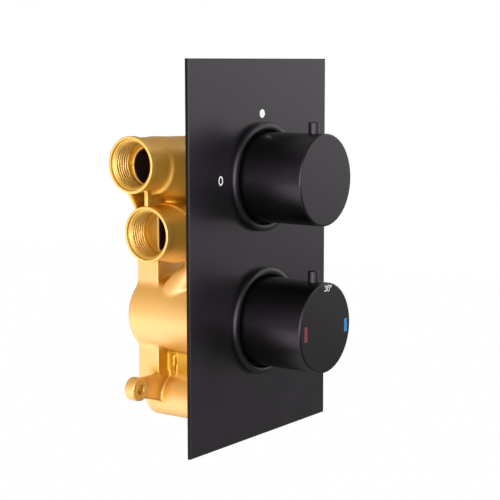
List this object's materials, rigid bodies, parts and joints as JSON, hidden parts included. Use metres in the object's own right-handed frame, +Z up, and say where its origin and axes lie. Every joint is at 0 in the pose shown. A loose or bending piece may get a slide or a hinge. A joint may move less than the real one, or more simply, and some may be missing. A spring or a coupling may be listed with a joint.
{
  "type": "thermostatic shower valve",
  "caption": "Concealed thermostatic shower valve: tall black face plate with a flow knob above a temperature knob, and a cast brass body with outlet and inlets behind it.",
  "frame": {"origin": "centre of the face plate's back face, which lies on the finished wall", "axes": "+X to the right seen from the room, +Y into the wall, +Z up"},
  "size_m": [0.128, 0.1233, 0.21],
  "materials": {
    "black_paint": "satin black paint on brass and steel",
    "black_trim": "satin black paint",
    "cast_brass": "raw cast brass, slightly rough",
    "turned_brass": "turned brass",
    "steel": "bright steel",
    "ceramic": "lapped ceramic",
    "white_plastic": "moulded plastic",
    "grey_plastic": "moulded plastic",
    "rubber": "moulded rubber",
    "copper": "plain copper"
  },
  "bodies": {
    "valve": {"faceplate": "black_paint", "upper_collar": "black_trim", "lower_collar": "black_trim", "upper_collar_nut": "grey_plastic", "lower_collar_nut": "grey_plastic", "upper_collar_seal": "rubber", "lower_collar_seal": "rubber", "upper_sleeve": "grey_plastic", "lower_sleeve": "grey_plastic", "valve_body": "cast_brass", "flow_housing": "turned_brass", "flow_housing_seal": "rubber", "thrust_washer": "white_plastic", "fixed_disc": "ceramic", "flow_base_seal": "rubber", "stop_ring": "white_plastic", "thermostat_nut": "turned_brass", "thermostat_housing": "white_plastic", "thermostat_seals": "rubber", "cold_strainer": "steel", "hot_strainer": "steel", "hot_seat": "turned_brass", "spring_retainer": "turned_brass"},
    "flow_control": {"flow_knob": "black_paint", "flow_pin": "black_trim", "flow_grub_screw": "steel", "flow_adaptor": "white_plastic", "flow_spindle": "turned_brass", "flow_spindle_seals": "rubber", "flow_circlip": "steel", "moving_disc": "ceramic"},
    "temperature_control": {"temperature_knob": "black_paint", "temperature_grub_screw": "steel", "temperature_adaptor": "white_plastic", "temperature_spindle": "turned_brass", "temperature_spindle_seal": "rubber", "temperature_circlip": "steel", "button_spring": "steel"},
    "safety_button": {"safety_button": "black_trim"},
    "sliding_valve": {"pusher": "turned_brass", "overload_spring": "steel", "overload_seat": "steel", "wax_element": "copper", "shuttle": "turned_brass", "shuttle_seal": "rubber", "return_spring": "steel"}
  },
  "joints": [
    {"name": "flow_turn", "type": "hinge", "parent": "valve", "child": "flow_control", "pos_m": [0, 0, 0.0406], "axis": [0, -1, 0], "range_deg": [0, 90]},
    {"name": "temperature_turn", "type": "hinge", "parent": "valve", "child": "temperature_control", "pos_m": [0, 0, -0.0394], "axis": [0, -1, 0], "range_deg": [-180, 60]},
    {"name": "button_press", "type": "slide", "parent": "temperature_control", "child": "safety_button", "axis": [0, 0, -1], "range_m": [0, 0.003], "stiffness_N_per_m": 400, "springref_m": -0.003, "deforming": ["button_spring"]},
    {"name": "valve_slide", "type": "slide", "parent": "valve", "child": "sliding_valve", "axis": [0, -1, 0], "range_m": [-0.0011, 0.0004], "deforming": ["return_spring"]}
  ],
  "couplings": [
    {"joint": "valve_slide", "follows": "temperature_turn", "m_per_rad": 0.00031831}
  ]
}
